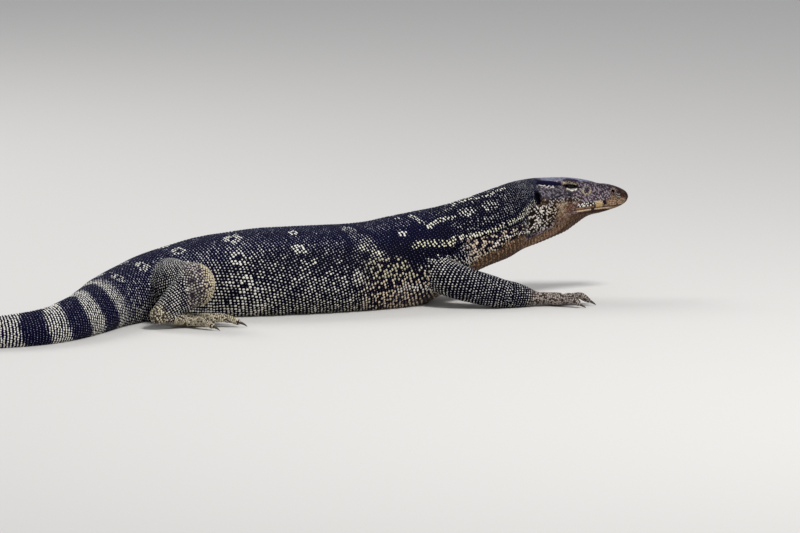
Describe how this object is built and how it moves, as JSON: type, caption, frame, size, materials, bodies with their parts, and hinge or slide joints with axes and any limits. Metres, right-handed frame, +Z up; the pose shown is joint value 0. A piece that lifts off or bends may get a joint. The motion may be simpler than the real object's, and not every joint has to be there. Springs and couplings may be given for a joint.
{
  "type": "water monitor lizard",
  "caption": "Life-size still model of a water monitor lizard lying on its belly, neck raised, one forelimb stretched forward and tail laid on the floor.",
  "frame": {"origin": "on the flat of the belly under the middle of the trunk, at floor level", "axes": "+X towards the head along the trunk, +Y to the animal's left, +Z up"},
  "size_m": [1.687, 0.4695, 0.163],
  "materials": {
    "skin": "scaly skin, blue-black with rows of cream and yellow scale dots",
    "eye": "glossy dark brown eye",
    "claw": "dark horn, slightly polished"
  },
  "bodies": {
    "root": {"head": "skin", "lower_jaw": "skin", "neck": "skin", "torso": "skin", "tail_base": "skin", "tail_front": "skin", "tail_middle": "skin", "tail_tip": "skin", "upper_arm_right": "skin", "forearm_right": "skin", "hand_right": "skin", "thigh_right": "skin", "shin_right": "skin", "foot_right": "skin", "upper_arm_left": "skin", "forearm_left": "skin", "hand_left": "skin", "thigh_left": "skin", "shin_left": "skin", "foot_left": "skin", "eye_right": "eye", "eye_left": "eye", "claw_hand_right_1": "claw", "claw_hand_right_2": "claw", "claw_hand_right_3": "claw", "claw_hand_right_4": "claw", "claw_hand_right_5": "claw", "claw_hand_left_1": "claw", "claw_hand_left_2": "claw", "claw_hand_left_3": "claw", "claw_hand_left_4": "claw", "claw_hand_left_5": "claw", "claw_foot_right_1": "claw", "claw_foot_right_2": "claw", "claw_foot_right_3": "claw", "claw_foot_right_4": "claw", "claw_foot_right_5": "claw", "claw_foot_left_1": "claw", "claw_foot_left_2": "claw", "claw_foot_left_3": "claw", "claw_foot_left_4": "claw", "claw_foot_left_5": "claw"}
  },
  "joints": []
}
